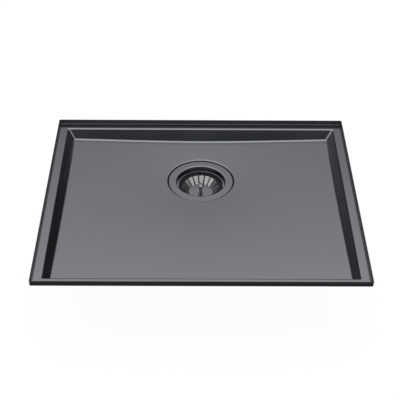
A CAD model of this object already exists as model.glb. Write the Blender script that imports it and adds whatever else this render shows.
import math
from collections import namedtuple

import bmesh
import bpy
from bpy.props import FloatProperty, FloatVectorProperty, PointerProperty
from mathutils import Matrix, Vector


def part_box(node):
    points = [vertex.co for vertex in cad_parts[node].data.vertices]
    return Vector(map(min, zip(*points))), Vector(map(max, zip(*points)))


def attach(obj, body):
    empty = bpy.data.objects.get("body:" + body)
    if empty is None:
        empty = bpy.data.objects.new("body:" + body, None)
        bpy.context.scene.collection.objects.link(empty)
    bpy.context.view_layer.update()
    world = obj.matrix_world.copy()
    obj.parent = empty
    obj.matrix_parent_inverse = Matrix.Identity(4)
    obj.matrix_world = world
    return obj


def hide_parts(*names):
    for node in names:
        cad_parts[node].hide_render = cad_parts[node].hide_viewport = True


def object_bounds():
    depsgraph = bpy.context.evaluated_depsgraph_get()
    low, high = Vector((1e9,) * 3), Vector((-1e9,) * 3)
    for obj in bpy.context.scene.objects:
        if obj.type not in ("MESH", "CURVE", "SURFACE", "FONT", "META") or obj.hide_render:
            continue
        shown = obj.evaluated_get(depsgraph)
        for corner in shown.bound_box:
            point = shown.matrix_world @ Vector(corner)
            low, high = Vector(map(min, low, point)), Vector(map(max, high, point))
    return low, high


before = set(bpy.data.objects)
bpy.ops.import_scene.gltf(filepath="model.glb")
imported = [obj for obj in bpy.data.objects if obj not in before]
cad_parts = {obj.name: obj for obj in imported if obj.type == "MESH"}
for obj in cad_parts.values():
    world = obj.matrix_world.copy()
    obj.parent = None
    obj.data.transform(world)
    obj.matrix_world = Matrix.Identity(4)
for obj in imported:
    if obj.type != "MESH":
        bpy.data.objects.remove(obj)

bl_info = {
    "name": "Shallow pan sink",
    "version": (1, 0, 0),
    "blender": (4, 5, 0),
    "location": "3D View > Sidebar > Sink",
    "description": "Finishes a shallow steel sink pan with its basket waste and sets a plain stage",
    "category": "Object",
}

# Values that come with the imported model
CAD_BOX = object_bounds()
FLOOR_LEVEL = CAD_BOX[0].z
RIM_LEVEL = 0.0           # the frame's origin lies on the rim's upper face
PAN_LOW, PAN_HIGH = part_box("sink_pan")
PAN_FRONT, LIP_TOP = PAN_LOW.y, PAN_HIGH.z
CUP_LOW, CUP_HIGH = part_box("strainer_cup")
WASTE_AXIS = ((CUP_LOW.x + CUP_HIGH.x) / 2, (CUP_LOW.y + CUP_HIGH.y) / 2, 0.0)
NEAR = 0.0001             # points nearer than this to a radius or a height lie on it


def turned_points(node):
    """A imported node's points as distance from the waste axis and height."""
    return [(math.hypot(p.co.x - WASTE_AXIS[0], p.co.y - WASTE_AXIS[1]), p.co.z)
            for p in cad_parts[node].data.vertices]


def bare_length(node, low, high, inside=math.inf):
    """Radius and both ends of a node's widest straight length between two heights and inside a radius."""
    points = [(r, z) for r, z in turned_points(node) if low - NEAR < z < high + NEAR and r < inside]
    radius = max(r for r, z in points)
    heights = [z for r, z in points if r > radius - NEAR]
    return radius, min(heights), max(heights)


def ring_size(node):
    """Inner and outer radius, lowest and highest point of a ring."""
    points = turned_points(node)
    return (min(r for r, z in points), max(r for r, z in points),
            min(z for r, z in points), max(z for r, z in points))


def recess_edge():
    """Distance from the waste axis to the wall of the pan's recess."""
    recess_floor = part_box("flange_gasket")[0].z
    return bare_length("sink_pan", recess_floor, recess_floor)[0]


def cup_mouth():
    """Distance to the middle of the cup's rounded mouth, a little inside the gasket's hole."""
    inside_gasket = 0.001
    return ring_size("flange_gasket")[0] - inside_gasket


def step_edge():
    """Distance to the outer edge of the cup's small step, just above the basket's collar."""
    collar_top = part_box("basket_collar")[1].z
    reach = 0.002
    return bare_length("strainer_cup", collar_top, collar_top + reach, cup_mouth())[0]


def dish_edge():
    """Distance to where the basket's floor turns up into its sloped ring."""
    hole = ring_size("basket")[0]
    floor_top = max(z for r, z in turned_points("basket") if r < hole + NEAR)
    return bare_length("basket", floor_top, floor_top)[0]


# Sizes and colours that a user would change

class SinkFinishes(bpy.types.PropertyGroup):
    """Colours and finishes of the sink's pieces."""
    gunmetal: FloatVectorProperty(
        name="Gunmetal", description="Colour of the coated steel", subtype="COLOR",
        size=3, min=0, max=1, default=(0.163, 0.1695, 0.183))
    gunmetal_roughness: FloatProperty(
        name="Gunmetal roughness", description="How satin the coated steel is", subtype="FACTOR",
        min=0, max=1, default=0.175)
    lip_roughness: FloatProperty(
        name="Lip roughness", description="How dull the folded lip is", subtype="FACTOR",
        min=0, max=1, default=0.5)
    satin_steel: FloatVectorProperty(
        name="Satin steel", description="Colour of the basket's sloped ring", subtype="COLOR",
        size=3, min=0, max=1, default=(0.36, 0.364, 0.372))
    satin_roughness: FloatProperty(
        name="Satin roughness", description="How dull the basket's sloped ring is", subtype="FACTOR",
        min=0, max=1, default=0.31)
    dish_roughness: FloatProperty(
        name="Dish roughness", description="How dull the basket's spun floor is", subtype="FACTOR",
        min=0, max=1, default=0.24)
    cup_roughness: FloatProperty(
        name="Cup roughness", description="How dull the inside of the cup is", subtype="FACTOR",
        min=0, max=1, default=0.28)
    post_steel: FloatVectorProperty(
        name="Post steel", description="Colour of the post through the basket", subtype="COLOR",
        size=3, min=0, max=1, default=(0.30, 0.305, 0.315))
    grain_length: FloatProperty(
        name="Grain length", description="Length of a brushed line", unit="LENGTH", default=0.03)
    grain_width: FloatProperty(
        name="Grain width", description="Width of a brushed line", unit="LENGTH", default=0.0004)
    bright_steel: FloatVectorProperty(
        name="Bright steel", description="Colour of the bare steel pieces", subtype="COLOR",
        size=3, min=0, max=1, default=(0.40, 0.40, 0.395))
    cast_zinc: FloatVectorProperty(
        name="Cast zinc", description="Colour of the cast nuts", subtype="COLOR",
        size=3, min=0, max=1, default=(0.40, 0.40, 0.41))
    rubber: FloatVectorProperty(
        name="Rubber", description="Colour of the rubber rings, the collar and the stopper", subtype="COLOR",
        size=3, min=0, max=1, default=(0.010, 0.0108, 0.0125))
    pad: FloatVectorProperty(
        name="Sound pad", description="Colour of the pads under the floor", subtype="COLOR",
        size=3, min=0, max=1, default=(0.045, 0.045, 0.048))
    slip_plastic: FloatVectorProperty(
        name="Slip plastic", description="Colour of the plastic rings under the pan", subtype="COLOR",
        size=3, min=0, max=1, default=(0.62, 0.61, 0.58))


class SinkThreads(bpy.types.PropertyGroup):
    """Threads and eased edges of the waste."""
    cup_pitch: FloatProperty(
        name="Cup pitch", description="Rise of the lock nut's thread in one turn", unit="LENGTH",
        default=0.0015)
    spigot_pitch: FloatProperty(
        name="Spigot pitch", description="Rise of the outlet's thread in one turn", unit="LENGTH",
        default=0.0022)
    post_pitch: FloatProperty(
        name="Post pitch", description="Rise of the post's thread in one turn", unit="LENGTH",
        default=0.0008)
    thread_depth: FloatProperty(
        name="Thread depth", description="Height of a thread as a share of its pitch", subtype="FACTOR",
        min=0, max=1, default=0.32)
    rubber_edge: FloatProperty(
        name="Rubber edge", description="Edge radius of the thick rubber ring", unit="LENGTH",
        default=0.0006)
    hard_edge: FloatProperty(
        name="Hard edge", description="Edge radius of the thin, plastic and steel rings", unit="LENGTH",
        default=0.0003)


class SinkStage(bpy.types.PropertyGroup):
    """Camera, light and floor."""
    camera_place: FloatVectorProperty(
        name="Camera place", description="Where the camera stands", subtype="TRANSLATION", unit="LENGTH",
        size=3, default=(-0.013938, -1.319958, 1.068015))
    camera_pitch: FloatProperty(
        name="Camera pitch", description="How far the camera looks down", subtype="ANGLE",
        default=math.radians(39.162))
    camera_yaw: FloatProperty(
        name="Camera yaw", description="How far the camera turns to the right", subtype="ANGLE",
        default=math.radians(0.530))
    camera_roll: FloatProperty(
        name="Camera roll", description="How far the camera leans", subtype="ANGLE",
        default=math.radians(0.530))
    camera_lens: FloatProperty(
        name="Lens", description="Focal length in millimetres", unit="CAMERA", default=87.62)
    lamp_power: FloatProperty(
        name="Lamp power", description="Power of the lamp overhead in watts", unit="POWER", default=10.0)
    lamp_size: FloatProperty(
        name="Lamp size", description="Side of the square lamp overhead", unit="LENGTH", default=1.8)
    lamp_place: FloatVectorProperty(
        name="Lamp place", description="Where the lamp hangs", subtype="TRANSLATION", unit="LENGTH",
        size=3, default=(0.0, 0.1, 1.7))
    sky_level: FloatProperty(
        name="Sky level", description="Brightness of the soft light all round", default=0.55)
    floor_share: FloatProperty(
        name="Floor white", description="Share of the floor that stays white in shadow", subtype="FACTOR",
        min=0, max=1, default=0.93)
    reflection_level: FloatProperty(
        name="Reflection level", description="Brightest part of the studio that the steel mirrors",
        default=2.1)
    soft_box_level: FloatProperty(
        name="Soft box level", description="Brightness of the soft box above the camera", default=1.7)
    screen_level: FloatProperty(
        name="Screen level", description="Brightness of the dark card in front of the sink", default=0.08)


# Small helpers

WHITE = (1.0, 1.0, 1.0, 1.0)


def add_node(tree, kind, **values):
    """A node with its settings and inputs, where an input's name has _ for each space."""
    node = tree.nodes.new(kind)
    for key, value in values.items():
        if hasattr(node, key):
            setattr(node, key, value)
        else:
            node.inputs[key.replace("_", " ")].default_value = value
    return node


def join(tree, out_socket, in_socket):
    """A link between two nodes."""
    tree.links.new(out_socket, in_socket)


def new_material(name):
    """A node material with its surface shader."""
    material = bpy.data.materials.new(name)
    material.use_nodes = True
    return material, material.node_tree, material.node_tree.nodes["Principled BSDF"]


def blank_material(name):
    """A node material with no nodes in it."""
    material = bpy.data.materials.new(name)
    material.use_nodes = True
    material.node_tree.nodes.clear()
    return material, material.node_tree


def shade(colour, factor):
    """A colour made lighter or darker."""
    return (colour[0] * factor, colour[1] * factor, colour[2] * factor, 1.0)


def finish_of(node, material):
    """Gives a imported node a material."""
    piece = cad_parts[node]
    piece.data.materials.clear()
    piece.data.materials.append(material)


def link_object(name, mesh):
    """A new object in the scene, at the origin."""
    piece = bpy.data.objects.new(name, mesh)
    bpy.context.scene.collection.objects.link(piece)
    return piece


# Shapes made by Geometry Nodes

RING_STEPS = 128          # straight lengths in a ring
EDGE_STEPS = 4            # and in each of its eased edges
ROOT_SHARE = 0.9          # width of a thread at its root and at its crest, as shares of its pitch
CREST_SHARE = 0.12
RUN_OUT_TURNS = 0.2       # a thread runs out over this many turns at each end
THINNEST_SHARE = 0.05     # and ends at this share of its size


def new_tree(name, sizes):
    """A tree with a named input for each size, the steps, a place and a finish, and its input node."""
    tree = bpy.data.node_groups.new(name, "GeometryNodeTree")
    tree.interface.new_socket("Geometry", in_out="OUTPUT", socket_type="NodeSocketGeometry")
    for size in sizes:
        tree.interface.new_socket(size, in_out="INPUT", socket_type="NodeSocketFloat")
    tree.interface.new_socket("Steps", in_out="INPUT", socket_type="NodeSocketInt")
    tree.interface.new_socket("Place", in_out="INPUT", socket_type="NodeSocketVector")
    tree.interface.new_socket("Finish", in_out="INPUT", socket_type="NodeSocketMaterial")
    return tree, tree.nodes.new("NodeGroupInput")


def calculate(tree, operation, first, second):
    """A number worked out from two sockets or values."""
    sum_node = add_node(tree, "ShaderNodeMath", operation=operation)
    for socket, value in zip(sum_node.inputs, (first, second)):
        if isinstance(value, (int, float)):
            socket.default_value = value
        else:
            join(tree, value, socket)
    return sum_node.outputs["Value"]


def close_tree(tree, given, geometry):
    """Ends a tree: put in place, instances made real, and the finish set."""
    placed = add_node(tree, "GeometryNodeTransform")
    join(tree, geometry, placed.inputs["Geometry"])
    join(tree, given.outputs["Place"], placed.inputs["Translation"])
    real = add_node(tree, "GeometryNodeRealizeInstances")
    join(tree, placed.outputs["Geometry"], real.inputs["Geometry"])
    coat = add_node(tree, "GeometryNodeSetMaterial")
    join(tree, real.outputs["Geometry"], coat.inputs["Geometry"])
    join(tree, given.outputs["Finish"], coat.inputs["Material"])
    end = add_node(tree, "NodeGroupOutput")
    join(tree, coat.outputs["Geometry"], end.inputs["Geometry"])


def made_by(tree, name, **values):
    """The plain mesh piece that a tree gives for these values."""
    piece = link_object(name, bpy.data.meshes.new(name))
    shape = piece.modifiers.new("shape", "NODES")
    shape.node_group = tree
    for item in tree.interface.items_tree:
        if item.in_out == "INPUT":
            shape[item.identifier] = values[item.name]
    view = bpy.context.evaluated_depsgraph_get()
    mesh = bpy.data.meshes.new_from_object(piece.evaluated_get(view), depsgraph=view)
    piece.modifiers.remove(shape)
    piece.data = mesh
    if not mesh.polygons:
        raise RuntimeError(name + " came out empty")
    return piece


def swept(tree, given, path, profile, scale=None):
    """A profile drawn along a path that keeps the profile upright."""
    upright = add_node(tree, "GeometryNodeSetCurveNormal", mode="Z_UP")
    join(tree, path, upright.inputs["Curve"])
    sweep = add_node(tree, "GeometryNodeCurveToMesh", Fill_Caps=True)
    join(tree, upright.outputs["Curve"], sweep.inputs["Curve"])
    join(tree, profile, sweep.inputs["Profile Curve"])
    if scale:
        join(tree, scale, sweep.inputs["Scale"])
    smooth = add_node(tree, "GeometryNodeSetShadeSmooth")
    join(tree, sweep.outputs["Mesh"], smooth.inputs["Geometry"])
    close_tree(tree, given, smooth.outputs["Geometry"])


def ring_tree():
    """Ring with rounded edges."""
    tree, given = new_tree("rounded_ring", ("Middle radius", "Width", "Height", "Edge"))
    path = add_node(tree, "GeometryNodeCurvePrimitiveCircle", mode="RADIUS")
    join(tree, given.outputs["Middle radius"], path.inputs["Radius"])
    join(tree, given.outputs["Steps"], path.inputs["Resolution"])
    section = add_node(tree, "GeometryNodeCurvePrimitiveQuadrilateral", mode="RECTANGLE")
    join(tree, given.outputs["Width"], section.inputs["Width"])
    join(tree, given.outputs["Height"], section.inputs["Height"])
    eased = add_node(tree, "GeometryNodeFilletCurve", mode="POLY", Count=EDGE_STEPS)
    join(tree, section.outputs["Curve"], eased.inputs["Curve"])
    join(tree, given.outputs["Edge"], eased.inputs["Radius"])
    swept(tree, given, path.outputs["Curve"], eased.outputs["Curve"])
    return tree


def thread_tree():
    """Screw thread that runs out at both ends."""
    tree, given = new_tree("screw_thread", ("Radius", "Pitch", "Turns", "Depth"))
    pitch, turns = given.outputs["Pitch"], given.outputs["Turns"]
    path = add_node(tree, "GeometryNodeCurveSpiral")
    join(tree, given.outputs["Steps"], path.inputs["Resolution"])
    join(tree, turns, path.inputs["Rotations"])
    join(tree, given.outputs["Radius"], path.inputs["Start Radius"])
    join(tree, given.outputs["Radius"], path.inputs["End Radius"])
    join(tree, calculate(tree, "MULTIPLY", pitch, turns), path.inputs["Height"])
    ridge = add_node(tree, "GeometryNodeCurvePrimitiveQuadrilateral", mode="TRAPEZOID", Offset=0.0)
    join(tree, calculate(tree, "MULTIPLY", given.outputs["Depth"], 2.0), ridge.inputs["Height"])
    join(tree, calculate(tree, "MULTIPLY", pitch, ROOT_SHARE), ridge.inputs["Bottom Width"])
    join(tree, calculate(tree, "MULTIPLY", pitch, CREST_SHARE), ridge.inputs["Top Width"])
    outwards = add_node(tree, "GeometryNodeTransform", Rotation=(0, 0, math.pi / 2))
    join(tree, ridge.outputs["Curve"], outwards.inputs["Geometry"])
    along = add_node(tree, "GeometryNodeSplineParameter").outputs["Factor"]
    run_out = calculate(tree, "DIVIDE", RUN_OUT_TURNS, turns)
    from_start = calculate(tree, "DIVIDE", along, run_out)
    to_end = calculate(tree, "DIVIDE", calculate(tree, "SUBTRACT", 1.0, along), run_out)
    nearest = calculate(tree, "MINIMUM", from_start, to_end)
    share = calculate(tree, "MAXIMUM", calculate(tree, "MINIMUM", nearest, 1.0), THINNEST_SHARE)
    swept(tree, given, path.outputs["Curve"], outwards.outputs["Geometry"], share)
    return tree


# Finishes

CLOUD_SIZE = 1 / 9        # size of the broad, faint changes of tone in steel
CLOUD_SHARE = 0.35        # and their share in its tone and gloss
STEEL_BUMP = 0.12         # how strongly the grain and the moulded skin show as relief
SKIN_BUMP = 0.3
STEEL_GLOSS = 0.03        # how far the roughness wanders to each side
SKIN_GLOSS = 0.06
SKIN_TONE = 0.15          # how far the colour of a moulded skin wanders
NOISE_LOW = 0.3           # most of a noise lies between these two
NOISE_HIGH = 0.7
CAST_GRAIN = 0.0012       # grain of cast zinc, of drawn tube and of turned small pieces
TUBE_GRAIN = 0.002
TURNED_GRAIN = 0.0006

# How bright each part is against the plain gunmetal
LIP_SHADE = 0.95
CUT_EDGE_SHADE = 0.25
RECESS_SHADE = 0.15
CUP_SHADE = 0.7
STEP_SHADE = 2.5
DISH_SHADE = 1.0

# Where each part's finish starts and where it is full, as distances from an edge
LIP_ZONE = (0.0002, 0.0012)             # above the rim
CUT_EDGE_ZONE = (-0.0005, -0.0002)      # above the top of the lip
RECESS_ZONE = (0.0014, 0.0008)          # outside the wall of the recess
CUP_ZONE = (0.0005, -0.0005)            # outside the cup's mouth
STEP_ZONE = (0.0001, -0.0001)           # outside the step's edge
BELOW_STEP_ZONE = (-0.0010, -0.0013)    # and where the step ends
DISH_ZONE = (0.0002, -0.0002)           # outside the edge of the basket's floor

# Another finish on part of a piece: its zone is laid off from an edge, along a measure
Patch = namedtuple("Patch", "colour roughness measure edge zone")


def grain_coordinates(tree, lengths):
    """Object coordinates scaled so that one unit of noise is one grain."""
    coords = add_node(tree, "ShaderNodeTexCoord")
    mapping = add_node(tree, "ShaderNodeMapping", Scale=[1 / v for v in lengths])
    join(tree, coords.outputs["Object"], mapping.inputs["Vector"])
    return mapping.outputs["Vector"]


def from_waste_axis(tree):
    """Distance of a point from the waste axis."""
    coords = add_node(tree, "ShaderNodeTexCoord")
    away = add_node(tree, "ShaderNodeVectorMath", operation="SUBTRACT")
    away.inputs[1].default_value = WASTE_AXIS
    join(tree, coords.outputs["Object"], away.inputs[0])
    flat = add_node(tree, "ShaderNodeVectorMath", operation="MULTIPLY")
    flat.inputs[1].default_value = (1, 1, 0)
    join(tree, away.outputs["Vector"], flat.inputs[0])
    radius = add_node(tree, "ShaderNodeVectorMath", operation="LENGTH")
    join(tree, flat.outputs["Vector"], radius.inputs[0])
    return radius.outputs["Value"]


def height_above(tree):
    """Height of a point above the rim."""
    coords = add_node(tree, "ShaderNodeTexCoord")
    parts = add_node(tree, "ShaderNodeSeparateXYZ")
    join(tree, coords.outputs["Object"], parts.inputs["Vector"])
    return parts.outputs["Z"]


def turned_coordinates(tree, width):
    """Coordinates that run round the waste axis, so that the grain lies in rings."""
    ringed = add_node(tree, "ShaderNodeCombineXYZ")
    join(tree, from_waste_axis(tree), ringed.inputs["X"])
    join(tree, height_above(tree), ringed.inputs["Y"])
    scaled = add_node(tree, "ShaderNodeMapping", Scale=(1 / width, 1 / width, 1))
    join(tree, ringed.outputs["Vector"], scaled.inputs["Vector"])
    return scaled.outputs["Vector"]


def straight_grain(length, width):
    """Grain that runs from left to right, or an even grain where both sizes are the same."""
    return lambda tree: grain_coordinates(tree, (length, width, width))


def ringed_grain(width):
    """Grain that lies in rings round the waste axis."""
    return lambda tree: turned_coordinates(tree, width)


def share_of(tree, patch):
    """A patch's share of the surface, which grows from nothing to all across its zone."""
    start, full = (patch.edge + distance for distance in patch.zone)
    share = add_node(tree, "ShaderNodeMapRange", interpolation_type="SMOOTHSTEP",
                     From_Min=min(start, full), From_Max=max(start, full),
                     To_Min=0.0 if start < full else 1.0, To_Max=1.0 if start < full else 0.0)
    join(tree, patch.measure(tree), share.inputs["Value"])
    return share.outputs["Result"]


def steel(name, colour, roughness, grain, spread=0.05, lift=0.00002, patches=()):
    """Metal with a fine grain: tone, gloss and surface follow the same lines.

    The colour wanders by the spread, the relief is as deep as the lift, and each patch lies over the rest."""
    material, tree, shader = new_material(name)
    shader.inputs["Metallic"].default_value = 1.0
    vector = grain(tree)
    lines = add_node(tree, "ShaderNodeTexNoise", Scale=1.0, Detail=3.0, Roughness=0.6)
    join(tree, vector, lines.inputs["Vector"])
    coords = add_node(tree, "ShaderNodeTexCoord")
    cloud = add_node(tree, "ShaderNodeTexNoise", Scale=1 / CLOUD_SIZE, Detail=2.0)
    join(tree, coords.outputs["Object"], cloud.inputs["Vector"])
    both = add_node(tree, "ShaderNodeMix", data_type="FLOAT", Factor=CLOUD_SHARE)
    join(tree, lines.outputs["Fac"], both.inputs["A"])
    join(tree, cloud.outputs["Fac"], both.inputs["B"])
    tone = add_node(tree, "ShaderNodeMix", data_type="RGBA",
                    A=shade(colour, 1 - spread), B=shade(colour, 1 + spread))
    join(tree, both.outputs["Result"], tone.inputs["Factor"])
    tint = tone.outputs["Result"]
    gloss = add_node(tree, "ShaderNodeMapRange", From_Min=NOISE_LOW, From_Max=NOISE_HIGH,
                     To_Min=roughness - STEEL_GLOSS, To_Max=roughness + STEEL_GLOSS)
    join(tree, both.outputs["Result"], gloss.inputs["Value"])
    dull = gloss.outputs["Result"]
    for patch in patches:
        share = share_of(tree, patch)
        change = add_node(tree, "ShaderNodeMix", data_type="RGBA", B=patch.colour)
        join(tree, share, change.inputs["Factor"])
        join(tree, tint, change.inputs["A"])
        tint = change.outputs["Result"]
        step = add_node(tree, "ShaderNodeMix", data_type="FLOAT", B=patch.roughness)
        join(tree, share, step.inputs["Factor"])
        join(tree, dull, step.inputs["A"])
        dull = step.outputs["Result"]
    join(tree, tint, shader.inputs["Base Color"])
    join(tree, dull, shader.inputs["Roughness"])
    bump = add_node(tree, "ShaderNodeBump", Strength=STEEL_BUMP, Distance=lift)
    join(tree, lines.outputs["Fac"], bump.inputs["Height"])
    join(tree, bump.outputs["Normal"], shader.inputs["Normal"])
    return material


def soft_matter(name, colour, roughness, grain, lift, sheen=0.5):
    """Rubber or plastic: an even colour with a fine moulded skin of this grain and lift."""
    material, tree, shader = new_material(name)
    shader.inputs["Specular IOR Level"].default_value = sheen
    coords = add_node(tree, "ShaderNodeTexCoord")
    skin = add_node(tree, "ShaderNodeTexNoise", Scale=1 / grain, Detail=3.0)
    join(tree, coords.outputs["Object"], skin.inputs["Vector"])
    tone = add_node(tree, "ShaderNodeMix", data_type="RGBA",
                    A=shade(colour, 1 - SKIN_TONE), B=shade(colour, 1 + SKIN_TONE))
    join(tree, skin.outputs["Fac"], tone.inputs["Factor"])
    join(tree, tone.outputs["Result"], shader.inputs["Base Color"])
    gloss = add_node(tree, "ShaderNodeMapRange",
                     To_Min=roughness - SKIN_GLOSS, To_Max=roughness + SKIN_GLOSS)
    join(tree, skin.outputs["Fac"], gloss.inputs["Value"])
    join(tree, gloss.outputs["Result"], shader.inputs["Roughness"])
    bump = add_node(tree, "ShaderNodeBump", Strength=SKIN_BUMP, Distance=lift)
    join(tree, skin.outputs["Fac"], bump.inputs["Height"])
    join(tree, bump.outputs["Normal"], shader.inputs["Normal"])
    return material


def pan_gunmetal(finishes):
    """Coated steel brushed from left to right: a duller lip, its dark cut edge and a dark recess."""
    coat, dull = finishes.gunmetal, finishes.lip_roughness
    lip = Patch(shade(coat, LIP_SHADE), dull, height_above, RIM_LEVEL, LIP_ZONE)
    cut_edge = Patch(shade(coat, CUT_EDGE_SHADE), dull, height_above, LIP_TOP, CUT_EDGE_ZONE)
    recess = Patch(shade(coat, RECESS_SHADE), dull, from_waste_axis, recess_edge(), RECESS_ZONE)
    return steel("gunmetal_brushed", coat, finishes.gunmetal_roughness,
                 straight_grain(finishes.grain_length, finishes.grain_width), patches=(lip, cut_edge, recess))


def cup_gunmetal(finishes):
    """Coated steel turned round the waste axis: a flange like the pan, a darker cup and a bright step."""
    coat, gloss, dull = finishes.gunmetal, finishes.gunmetal_roughness, finishes.cup_roughness
    cup = Patch(shade(coat, CUP_SHADE), dull, from_waste_axis, cup_mouth(), CUP_ZONE)
    step = Patch(shade(coat, STEP_SHADE), gloss, from_waste_axis, step_edge(), STEP_ZONE)
    below = Patch(shade(coat, CUP_SHADE), dull, from_waste_axis, step_edge(), BELOW_STEP_ZONE)
    return steel("gunmetal_turned", coat, gloss, ringed_grain(finishes.grain_width),
                 patches=(cup, step, below))


def basket_satin(finishes):
    """Satin steel on the basket's sloped ring and a spun gunmetal floor inside it."""
    dish = Patch(shade(finishes.gunmetal, DISH_SHADE), finishes.dish_roughness, from_waste_axis,
                 dish_edge(), DISH_ZONE)
    return steel("satin_turned", finishes.satin_steel, finishes.satin_roughness,
                 ringed_grain(finishes.grain_width), patches=(dish,))


def small_bright(name, finishes):
    """Bare steel of the small turned pieces on the post."""
    return steel(name, finishes.bright_steel, roughness=0.2, grain=ringed_grain(TURNED_GRAIN),
                 spread=0.04, lift=0.00001)


def fine_rubber(name, finishes, roughness, sheen=0.5):
    """Black rubber with a fine skin."""
    return soft_matter(name, finishes.rubber, roughness, grain=0.0008, lift=0.00006, sheen=sheen)


# Operators, one for each piece or group of like pieces

class SINK_OT_pan(bpy.types.Operator):
    """Brushed gunmetal pan"""
    bl_idname = "sink.pan"
    bl_label = "Pan"

    def execute(self, context):
        finish_of("sink_pan", pan_gunmetal(context.scene.sink_finishes))
        return {"FINISHED"}


class SINK_OT_pads(bpy.types.Operator):
    """Sound pads under the floor"""
    bl_idname = "sink.pads"
    bl_label = "Sound pads"

    def execute(self, context):
        finishes = context.scene.sink_finishes
        bitumen = soft_matter("pad_bitumen", finishes.pad, roughness=0.72, grain=0.0015, lift=0.0002)
        for side in ("left", "right", "front"):
            finish_of("sound_pad_" + side, bitumen)
        return {"FINISHED"}


class SINK_OT_strainer(bpy.types.Operator):
    """Strainer cup with the nuts and the tailpiece under it"""
    bl_idname = "sink.strainer"
    bl_label = "Strainer cup"

    def execute(self, context):
        finishes = context.scene.sink_finishes
        finish_of("strainer_cup", cup_gunmetal(finishes))
        zinc = steel("nut_zinc", finishes.cast_zinc, roughness=0.38,
                     grain=straight_grain(CAST_GRAIN, CAST_GRAIN), spread=0.08, lift=0.00005)
        finish_of("lock_nut", zinc)
        finish_of("coupling_nut", zinc)
        bright = steel("tail_bright", finishes.bright_steel, roughness=0.16,
                       grain=ringed_grain(TUBE_GRAIN), spread=0.04, lift=0.00001)
        finish_of("tailpiece", bright)
        return {"FINISHED"}


class SINK_OT_rings(bpy.types.Operator):
    """Rings with eased edges: rubber and plastic on the cup, steel on the post"""
    bl_idname = "sink.rings"
    bl_label = "Rings and washers"

    def execute(self, context):
        finishes = context.scene.sink_finishes
        sizes = context.scene.sink_threads
        rubber = fine_rubber("ring_rubber", finishes, roughness=0.6)
        plastic = soft_matter("ring_plastic", finishes.slip_plastic, roughness=0.45,
                              grain=0.002, lift=0.00005)
        bright = small_bright("ring_bright", finishes)
        tree = ring_tree()
        for node, body, slot, finish, edge in (
                ("flange_gasket", "sink", "black_rubber", rubber, sizes.hard_edge),
                ("underside_gasket", "sink", "black_rubber", rubber, sizes.rubber_edge),
                ("tailpiece_washer", "sink", "slip_plastic", plastic, sizes.hard_edge),
                ("friction_ring", "sink", "slip_plastic", plastic, sizes.hard_edge),
                ("post_spacer", "post", "tail_steel", bright, sizes.hard_edge),
                ("stopper_washer", "post", "tail_steel", bright, sizes.hard_edge)):
            inner, outer, low, high = ring_size(node)
            place = (WASTE_AXIS[0], WASTE_AXIS[1], (low + high) / 2)
            values = {"Middle radius": (inner + outer) / 2, "Width": outer - inner, "Height": high - low,
                      "Edge": edge, "Steps": RING_STEPS, "Place": place, "Finish": finish}
            piece = made_by(tree, node + "_eased", **values)
            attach(piece, body)
            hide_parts(node)
        return {"FINISHED"}


class SINK_OT_threads(bpy.types.Operator):
    """Threads that show on the cup, its spigot and the post"""
    bl_idname = "sink.threads"
    bl_label = "Threads"

    def execute(self, context):
        finishes = context.scene.sink_finishes
        sizes = context.scene.sink_threads
        under_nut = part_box("lock_nut")[0].z
        over_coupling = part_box("coupling_nut")[1].z
        cup_end = CUP_LOW.z
        cup_below_nut = 0.022
        post_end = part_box("basket_post")[0].z
        under_post_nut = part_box("post_nut")[0].z
        spigot_radius, _, spigot_start = bare_length("strainer_cup", cup_end, under_nut - cup_below_nut)
        cup_radius, cup_thread_end, _ = bare_length("strainer_cup", cup_end, under_nut)
        tip_radius, _, _ = bare_length("basket_post", post_end, under_post_nut)
        grain = ringed_grain(finishes.grain_width)
        cut = steel("thread_cut", finishes.gunmetal, finishes.cup_roughness, grain)
        bright = steel("thread_bright", finishes.post_steel, roughness=0.3, grain=grain)
        tree = thread_tree()
        for name, body, slot, finish, radius, low, high, pitch, steps in (
                ("cup_thread", "sink", "gunmetal_steel", cut, cup_radius, cup_thread_end, under_nut,
                 sizes.cup_pitch, 160),
                ("spigot_thread", "sink", "gunmetal_steel", cut, spigot_radius, over_coupling, spigot_start,
                 sizes.spigot_pitch, 120),
                ("post_thread", "post", "gunmetal_steel", bright, tip_radius, post_end, under_post_nut,
                 sizes.post_pitch, 32)):
            place = (WASTE_AXIS[0], WASTE_AXIS[1], low + pitch / 2)
            values = {"Radius": radius, "Pitch": pitch, "Turns": (high - low) / pitch - 1, "Steps": steps,
                      "Depth": pitch * sizes.thread_depth, "Place": place, "Finish": finish}
            piece = made_by(tree, name, **values)
            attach(piece, body)
        return {"FINISHED"}


class SINK_OT_basket(bpy.types.Operator):
    """Slotted basket with its rubber collar"""
    bl_idname = "sink.basket"
    bl_label = "Basket"

    def execute(self, context):
        finishes = context.scene.sink_finishes
        finish_of("basket", basket_satin(finishes))
        finish_of("basket_collar", fine_rubber("collar_rubber", finishes, roughness=0.5, sheen=0.12))
        return {"FINISHED"}


class SINK_OT_post(bpy.types.Operator):
    """Post with its knob, stopper and nut"""
    bl_idname = "sink.post"
    bl_label = "Post and stopper"

    def execute(self, context):
        finishes = context.scene.sink_finishes
        grain = ringed_grain(finishes.grain_width)
        finish_of("basket_post", steel("post_steel", finishes.post_steel, roughness=0.4, grain=grain))
        finish_of("post_knob", steel("knob_gunmetal", finishes.gunmetal, roughness=0.15, grain=grain))
        finish_of("post_nut", small_bright("post_bright", finishes))
        finish_of("stopper_seal", fine_rubber("stopper_rubber", finishes, roughness=0.55))
        return {"FINISHED"}


# Stage

# Height above the horizon in degrees and brightness, behind and to the left of the sink
BRIGHT_SIDE = ((-10, 0.06), (15, 0.06), (25, 0.16), (34.5, 0.70), (36.6, 0.92), (41, 1.2),
               (45, 1.4), (55, 2.0), (90, 2.1))
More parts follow.
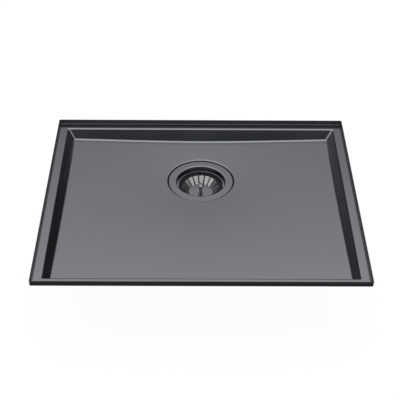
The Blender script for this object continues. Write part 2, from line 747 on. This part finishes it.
# The same in front and to the right
DARK_SIDE = ((-10, 0.06), (5, 0.08), (12, 0.60), (26, 0.60), (31, 0.05), (40, 0.02), (47, 0.05), (53, 0.5),
             (61, 1.9), (90, 2.1))
LOW_ANGLE, HIGH_ANGLE = BRIGHT_SIDE[0][0], BRIGHT_SIDE[-1][0]
BRIGHT_BEARING = (-0.35, 0.94, 0.0)   # direction of the bright side, seen from above
SIDE_BLEND = 0.35                     # how wide the two sides run into each other
STUDIO_RADIUS = 9.0
FLOOR_HALF = 30.0
FLOOR_PAINT = (0.95, 0.95, 0.95, 1.0)
FLOOR_GLOW = 1.03


def white_for_view(tree):
    """A factor of one for rays that show the background: camera, mirror and glass rays."""
    path = add_node(tree, "ShaderNodeLightPath")
    some = calculate(tree, "ADD", path.outputs["Is Camera Ray"], path.outputs["Is Glossy Ray"])
    every = add_node(tree, "ShaderNodeMath", operation="ADD", use_clamp=True)
    join(tree, some, every.inputs[0])
    join(tree, path.outputs["Is Transmission Ray"], every.inputs[1])
    return every.outputs["Value"]


def make_floor(settings):
    """Pale floor that stays nearly white, keeps a faint shadow and is clear from below."""
    mesh = bpy.data.meshes.new("floor")
    corners = [(FLOOR_HALF * x, FLOOR_HALF * y, FLOOR_LEVEL) for x, y in ((-1, -1), (1, -1), (1, 1), (-1, 1))]
    mesh.from_pydata(corners, [], [(0, 1, 2, 3)])
    floor = link_object("floor", mesh)
    material, tree = blank_material("floor_pale")
    paint = add_node(tree, "ShaderNodeBsdfDiffuse", Color=FLOOR_PAINT)
    glow = add_node(tree, "ShaderNodeEmission", Strength=FLOOR_GLOW)
    share = calculate(tree, "MULTIPLY", white_for_view(tree), settings.floor_share)
    mix = add_node(tree, "ShaderNodeMixShader")
    join(tree, share, mix.inputs["Fac"])
    join(tree, paint.outputs["BSDF"], mix.inputs[1])
    join(tree, glow.outputs["Emission"], mix.inputs[2])
    clear = add_node(tree, "ShaderNodeBsdfTransparent")
    facing = add_node(tree, "ShaderNodeNewGeometry")
    one_sided = add_node(tree, "ShaderNodeMixShader")
    join(tree, facing.outputs["Backfacing"], one_sided.inputs["Fac"])
    join(tree, mix.outputs["Shader"], one_sided.inputs[1])
    join(tree, clear.outputs["BSDF"], one_sided.inputs[2])
    end = add_node(tree, "ShaderNodeOutputMaterial")
    join(tree, one_sided.outputs["Shader"], end.inputs["Surface"])
    mesh.materials.append(material)


def mirror_only(piece):
    """The piece shows only in mirror rays, and no lamp rays are sent from it."""
    piece.visible_camera = False
    piece.visible_diffuse = False
    piece.visible_transmission = False
    piece.visible_volume_scatter = False
    piece.visible_shadow = False
    for material in piece.data.materials:
        material.cycles.emission_sampling = "NONE"


def ramp_of(tree, stops, top):
    """A grey ramp through stops of height and brightness, as shares of the brightest."""
    ramp = add_node(tree, "ShaderNodeValToRGB")
    elements = ramp.color_ramp.elements
    while len(elements) < len(stops):
        elements.new(0.5)
    for element, (angle, level) in zip(elements, stops):
        element.position = (angle - LOW_ANGLE) / (HIGH_ANGLE - LOW_ANGLE)
        element.color = shade(WHITE, level / top)
    return ramp


def make_reflections(settings):
    """Studio that only the steel mirrors: a wide soft light overhead that falls off to dark screens."""
    mesh = bpy.data.meshes.new("studio")
    shell = bmesh.new()
    bmesh.ops.create_uvsphere(shell, u_segments=48, v_segments=24, radius=STUDIO_RADIUS)
    shell.to_mesh(mesh)
    shell.free()
    studio = link_object("studio", mesh)
    material, tree = blank_material("studio_screens")
    coords = add_node(tree, "ShaderNodeTexCoord")
    way = add_node(tree, "ShaderNodeVectorMath", operation="NORMALIZE")
    join(tree, coords.outputs["Object"], way.inputs[0])
    parts = add_node(tree, "ShaderNodeSeparateXYZ")
    join(tree, way.outputs["Vector"], parts.inputs["Vector"])
    rise = add_node(tree, "ShaderNodeMath", operation="ARCSINE")
    join(tree, parts.outputs["Z"], rise.inputs[0])
    height = add_node(tree, "ShaderNodeMapRange",
                      From_Min=math.radians(LOW_ANGLE), From_Max=math.radians(HIGH_ANGLE))
    join(tree, rise.outputs["Value"], height.inputs["Value"])
    flat = add_node(tree, "ShaderNodeVectorMath", operation="MULTIPLY")
    flat.inputs[1].default_value = (1, 1, 0)
    join(tree, way.outputs["Vector"], flat.inputs[0])
    bearing = add_node(tree, "ShaderNodeVectorMath", operation="NORMALIZE")
    join(tree, flat.outputs["Vector"], bearing.inputs[0])
    towards = add_node(tree, "ShaderNodeVectorMath", operation="DOT_PRODUCT")
    towards.inputs[1].default_value = BRIGHT_BEARING
    join(tree, bearing.outputs["Vector"], towards.inputs[0])
    side = add_node(tree, "ShaderNodeMapRange", interpolation_type="SMOOTHSTEP",
                    From_Min=-SIDE_BLEND, From_Max=SIDE_BLEND)
    join(tree, towards.outputs["Value"], side.inputs["Value"])
    mix = add_node(tree, "ShaderNodeMix", data_type="RGBA")
    join(tree, side.outputs["Result"], mix.inputs["Factor"])
    for socket, stops in (("A", DARK_SIDE), ("B", BRIGHT_SIDE)):
        ramp = ramp_of(tree, stops, settings.reflection_level)
        join(tree, height.outputs["Result"], ramp.inputs["Fac"])
        join(tree, ramp.outputs["Color"], mix.inputs[socket])
    glow = add_node(tree, "ShaderNodeEmission", Strength=settings.reflection_level)
    join(tree, mix.outputs["Result"], glow.inputs["Color"])
    end = add_node(tree, "ShaderNodeOutputMaterial")
    join(tree, glow.outputs["Emission"], end.inputs["Surface"])
    mesh.materials.append(material)
    mirror_only(studio)


def make_card(name, corners, faces, level):
    """Card of even brightness that only the steel mirrors."""
    mesh = bpy.data.meshes.new(name)
    mesh.from_pydata(corners, [], faces)
    card = link_object(name, mesh)
    material, tree = blank_material(name)
    glow = add_node(tree, "ShaderNodeEmission", Strength=level)
    end = add_node(tree, "ShaderNodeOutputMaterial")
    join(tree, glow.outputs["Emission"], end.inputs["Surface"])
    mesh.materials.append(material)
    mirror_only(card)


def make_front_screen(settings):
    """Dark card on the floor in front of the sink, for the front face to mirror."""
    half_wide, far, gap, above_floor = 2.5, -3.0, 0.0175, 0.0005
    near = PAN_FRONT - gap
    level = FLOOR_LEVEL + above_floor
    corners = [(-half_wide, far, level), (half_wide, far, level),
               (half_wide, near, level), (-half_wide, near, level)]
    make_card("front_screen", corners, [(0, 1, 2, 3)], settings.screen_level)


def make_soft_box(settings):
    """Bent soft box above the camera that hangs lower at its ends, for the basket's far side to mirror."""
    away, half_turn, columns = 3.0, 92.0, 20
    # Degrees of height in the middle, and of drop to the ends
    lower_edge, upper_edge = (46.5, 28.0), (62.0, 36.0)
    corners = []
    for column in range(columns + 1):
        across = 2 * column / columns - 1
        turn = math.radians(half_turn * across)
        for middle, drop in (lower_edge, upper_edge):
            rise = math.radians(middle - drop * across ** 2)
            corners.append((WASTE_AXIS[0] + away * math.cos(rise) * math.sin(turn),
                            WASTE_AXIS[1] - away * math.cos(rise) * math.cos(turn), away * math.sin(rise)))
    faces = [(2 * i, 2 * i + 2, 2 * i + 3, 2 * i + 1) for i in range(columns)]
    make_card("soft_box", corners, faces, settings.soft_box_level)


def make_light(settings):
    """Soft lamp overhead and an even white sky."""
    lamp = bpy.data.lights.new("overhead", "AREA")
    lamp.shape = "SQUARE"
    lamp.size = settings.lamp_size
    lamp.energy = settings.lamp_power
    holder = link_object("overhead", lamp)
    holder.location = settings.lamp_place
    holder.visible_glossy = False
    world = bpy.data.worlds.new("studio_sky")
    bpy.context.scene.world = world
    world.use_nodes = True
    tree = world.node_tree
    tree.nodes.clear()
    dim = add_node(tree, "ShaderNodeBackground", Color=WHITE, Strength=settings.sky_level)
    white = add_node(tree, "ShaderNodeBackground", Color=WHITE, Strength=1.0)
    mix = add_node(tree, "ShaderNodeMixShader")
    join(tree, white_for_view(tree), mix.inputs["Fac"])
    join(tree, dim.outputs["Background"], mix.inputs[1])
    join(tree, white.outputs["Background"], mix.inputs[2])
    end = add_node(tree, "ShaderNodeOutputWorld")
    join(tree, mix.outputs["Shader"], end.inputs["Surface"])


def make_camera(settings):
    """Camera at the photograph's angle, for a square picture."""
    pitch, yaw, roll = settings.camera_pitch, settings.camera_yaw, settings.camera_roll
    ahead = Vector((math.sin(yaw) * math.cos(pitch), math.cos(yaw) * math.cos(pitch), -math.sin(pitch)))
    right = Vector((math.cos(yaw), -math.sin(yaw), 0))
    up = right.cross(ahead)
    across = math.cos(roll) * right + math.sin(roll) * up
    upright = math.cos(roll) * up - math.sin(roll) * right
    lens = bpy.data.cameras.new("view")
    lens.sensor_width = 36.0
    lens.lens = settings.camera_lens
    lens.clip_start, lens.clip_end = 0.05, 100.0
    camera = link_object("view", lens)
    turn = Matrix((across, upright, -ahead)).transposed()
    camera.matrix_world = Matrix.Translation(settings.camera_place) @ turn.to_4x4()
    bpy.context.scene.camera = camera


class SINK_OT_stage(bpy.types.Operator):
    """Floor, light, reflections and camera"""
    bl_idname = "sink.stage"
    bl_label = "Stage"

    def execute(self, context):
        settings = context.scene.sink_stage
        make_floor(settings)
        make_reflections(settings)
        make_front_screen(settings)
        make_soft_box(settings)
        make_light(settings)
        make_camera(settings)
        context.scene.view_settings.view_transform = "Standard"
        return {"FINISHED"}


class SINK_PT_panel(bpy.types.Panel):
    """The sink's pieces, finishes and stage"""
    bl_idname = "SINK_PT_panel"
    bl_label = "Sink"
    bl_space_type = "VIEW_3D"
    bl_region_type = "UI"
    bl_category = "Sink"

    def draw(self, context):
        for step in STEPS:
            self.layout.operator(step.bl_idname)
        for group in (context.scene.sink_finishes, context.scene.sink_threads, context.scene.sink_stage):
            box = self.layout.box()
            for name in group.__annotations__:
                box.prop(group, name)


STEPS = (SINK_OT_pan, SINK_OT_pads, SINK_OT_strainer, SINK_OT_rings, SINK_OT_threads, SINK_OT_basket,
         SINK_OT_post, SINK_OT_stage)
CLASSES = (SinkFinishes, SinkThreads, SinkStage, *STEPS, SINK_PT_panel)


def register():
    for cls in CLASSES:
        bpy.utils.register_class(cls)
    bpy.types.Scene.sink_finishes = PointerProperty(type=SinkFinishes)
    bpy.types.Scene.sink_threads = PointerProperty(type=SinkThreads)
    bpy.types.Scene.sink_stage = PointerProperty(type=SinkStage)


def unregister():
    del bpy.types.Scene.sink_stage
    del bpy.types.Scene.sink_threads
    del bpy.types.Scene.sink_finishes
    for cls in reversed(CLASSES):
        bpy.utils.unregister_class(cls)


def main():
    """Makes the sink piece by piece, then the stage."""
    register()
    for step in (bpy.ops.sink.pan, bpy.ops.sink.pads, bpy.ops.sink.strainer, bpy.ops.sink.rings,
                 bpy.ops.sink.threads, bpy.ops.sink.basket, bpy.ops.sink.post, bpy.ops.sink.stage):
        step()


if __name__ == "__main__":
    main()
